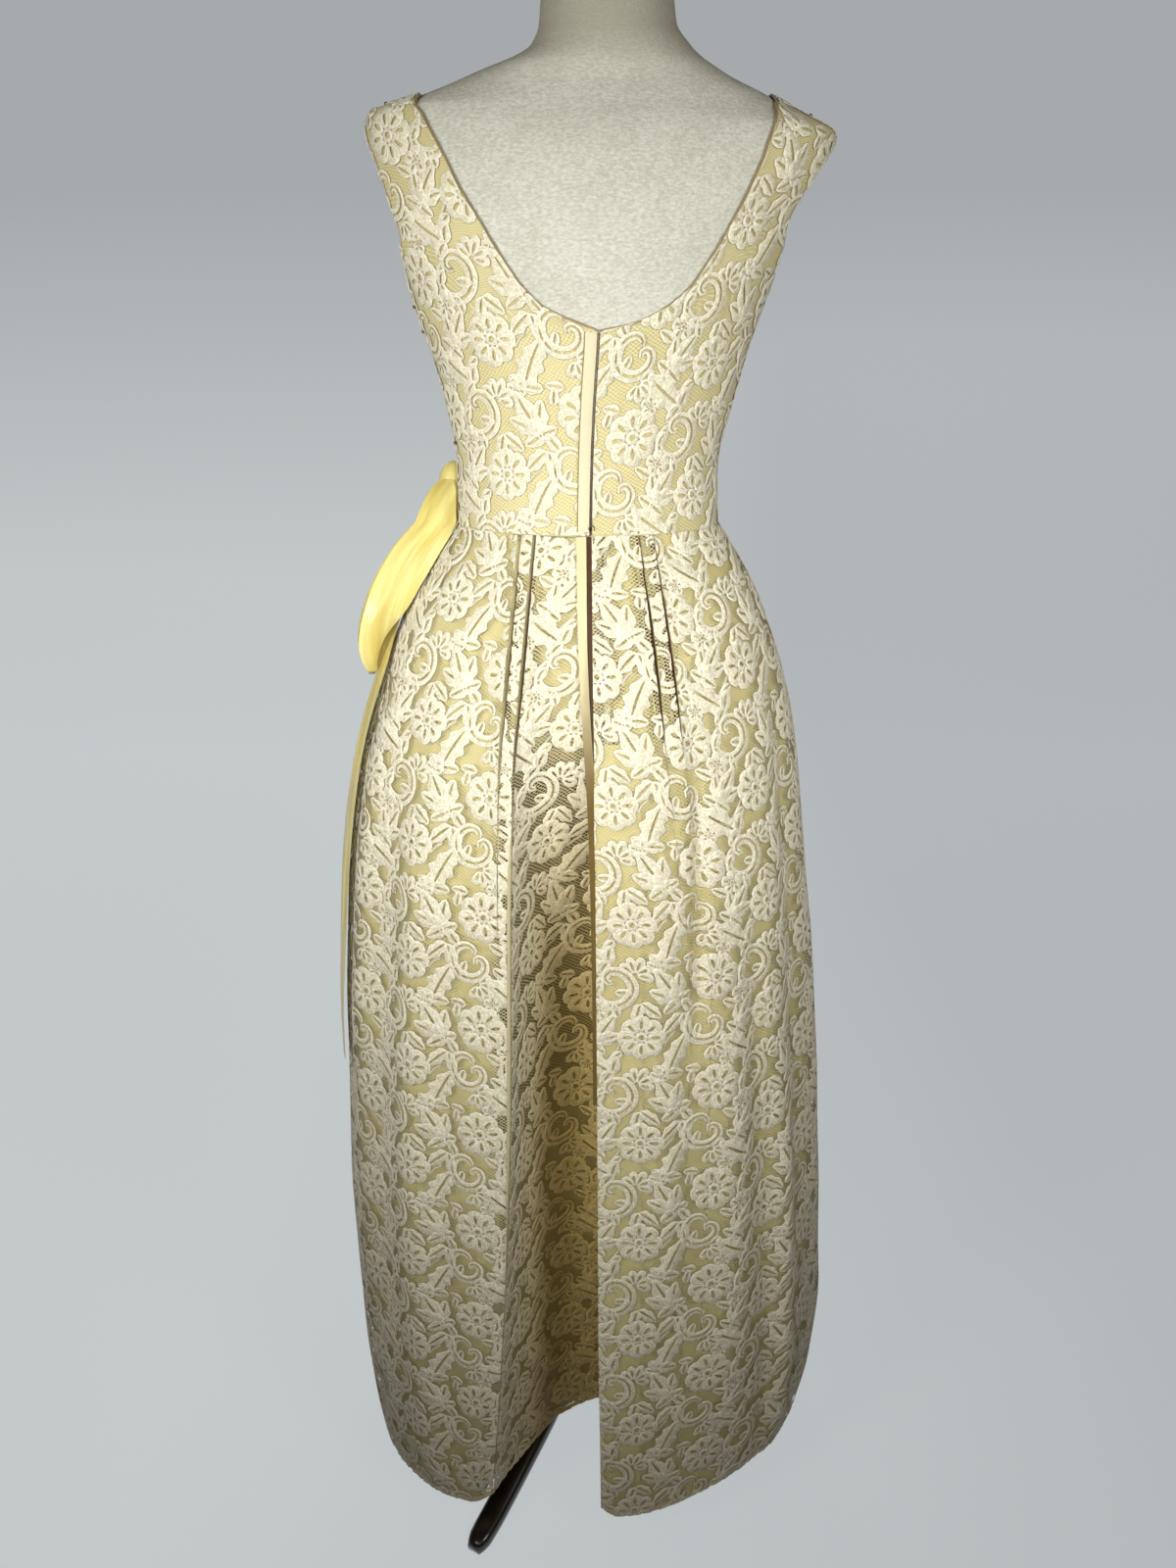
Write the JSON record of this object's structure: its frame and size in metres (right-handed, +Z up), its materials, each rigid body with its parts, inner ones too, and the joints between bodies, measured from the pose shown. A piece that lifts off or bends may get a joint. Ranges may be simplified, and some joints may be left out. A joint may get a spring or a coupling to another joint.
{
  "type": "lace gown on dress form",
  "caption": "Sleeveless floor-length gown in corded floral lace over pale yellow satin, with a side bow, worn by a limbless linen dress form on a dark wooden tripod.",
  "frame": {"origin": "on the floor, on the axis of the dress form's pole, within a few millimetres of the middle of the footprint", "axes": "+Z up the form; the gown's front faces -Y and its back, with the zip and the open fold, faces +Y; the gown's own left, with the bow, is +X"},
  "size_m": [0.5063, 0.4202, 1.4583],
  "materials": {
    "lace": "corded cream floral lace mounted on pale yellow satin, matte cords over a soft satin glow",
    "satin": "pale yellow duchesse satin with a soft sheen, deep ochre in its folds",
    "ribbon": "pale yellow satin ribbon, glossy, softly creased where it is gathered",
    "binding": "narrow cream satin edge binding",
    "linen": "off-white linen cover of the dress form, plain fine weave",
    "dark_wood": "near-black polished wood",
    "steel": "zip chain in dulled metal"
  },
  "bodies": {
    "root": {"bodice_back_left": "lace", "bodice_back_right": "lace", "bodice_front": "lace", "neck_binding_back_left": "binding", "neck_binding_back_right": "binding", "neck_binding_front_left": "binding", "neck_binding_front_right": "binding", "zip_placket": "lace", "zip_chain": "steel", "skirt_back_left": "lace", "skirt_back_right": "lace", "skirt_front": "lace", "skirt_lining_back": "satin", "skirt_lining_front": "satin", "bow_knot": "ribbon", "bow_loop_back": "ribbon", "bow_loop_front": "ribbon", "bow_tail_back": "ribbon", "bow_tail_front": "ribbon", "form_torso": "linen", "form_neck_cap": "dark_wood", "stand_pole": "dark_wood", "stand_hub": "dark_wood", "stand_leg_1": "dark_wood", "stand_leg_2": "dark_wood", "stand_leg_3": "dark_wood"}
  },
  "joints": []
}
